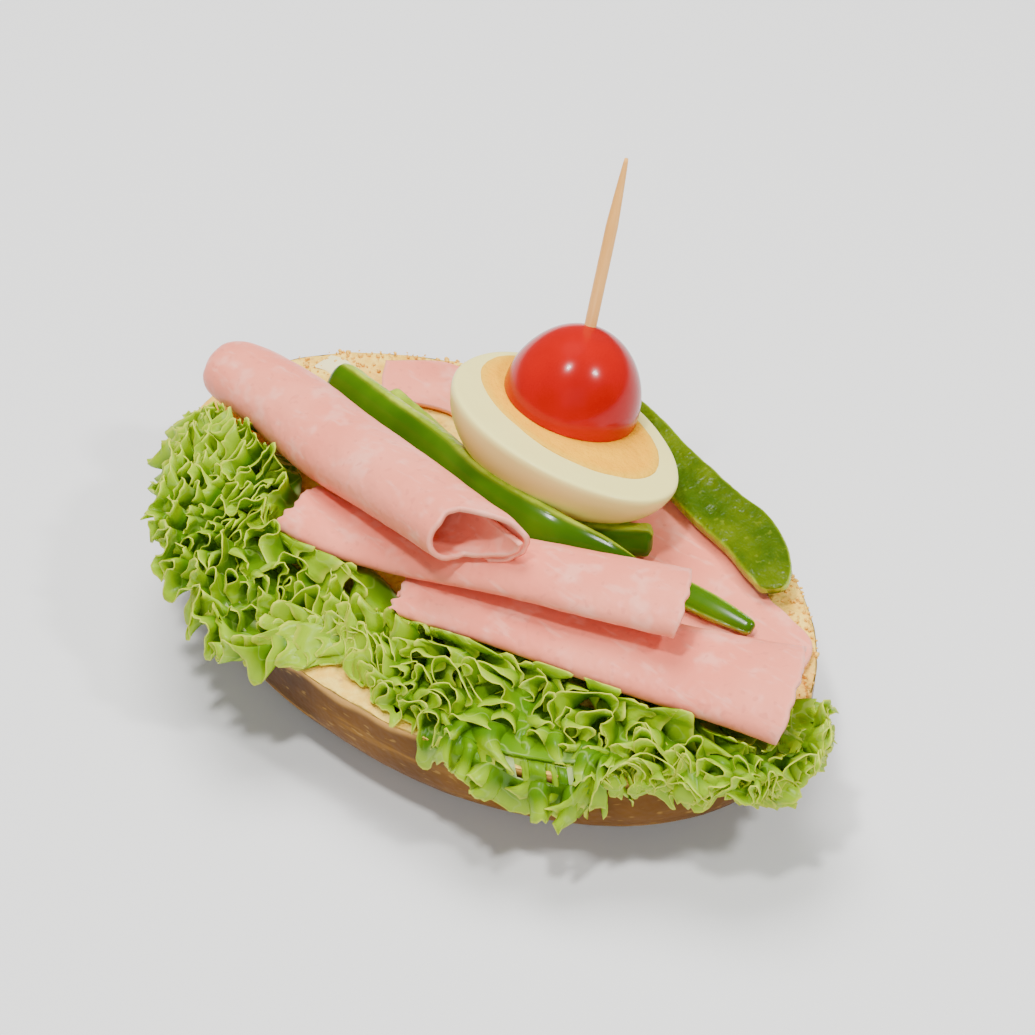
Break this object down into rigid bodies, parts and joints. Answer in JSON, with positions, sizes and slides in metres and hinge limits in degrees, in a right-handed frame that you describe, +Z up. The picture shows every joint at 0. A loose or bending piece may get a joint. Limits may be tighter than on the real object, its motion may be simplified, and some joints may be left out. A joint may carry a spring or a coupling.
{
  "type": "open sandwich",
  "caption": "Open sandwich on half an oval roll, with frilly lettuce, rolled ham, green pepper strips, half a boiled egg and a tomato half held by a cocktail stick.",
  "frame": {"origin": "centre of the roll's flat underside", "axes": "+X along the roll, towards the end with the tongue of lettuce; -Y towards the lettuce; +Z up"},
  "size_m": [0.1835, 0.1184, 0.0983],
  "materials": {
    "bread": "matt",
    "lettuce": "satin",
    "ham": "satin",
    "pepper": "gloss",
    "egg_white": "satin",
    "egg_yolk": "matt",
    "tomato": "gloss",
    "wood": "matt"
  },
  "bodies": {
    "root": {"bread": "bread", "lettuce": "lettuce", "ham_roll_back": "ham", "ham_roll_middle": "ham", "ham_roll_front": "ham", "ham_slice_left": "ham", "ham_slice_right": "ham", "pepper_front": "pepper", "pepper_middle": "pepper", "pepper_back": "pepper", "pepper_tip": "pepper", "egg_white": "egg_white", "egg_yolk": "egg_yolk", "tomato": "tomato", "cocktail_stick": "wood"}
  },
  "joints": []
}
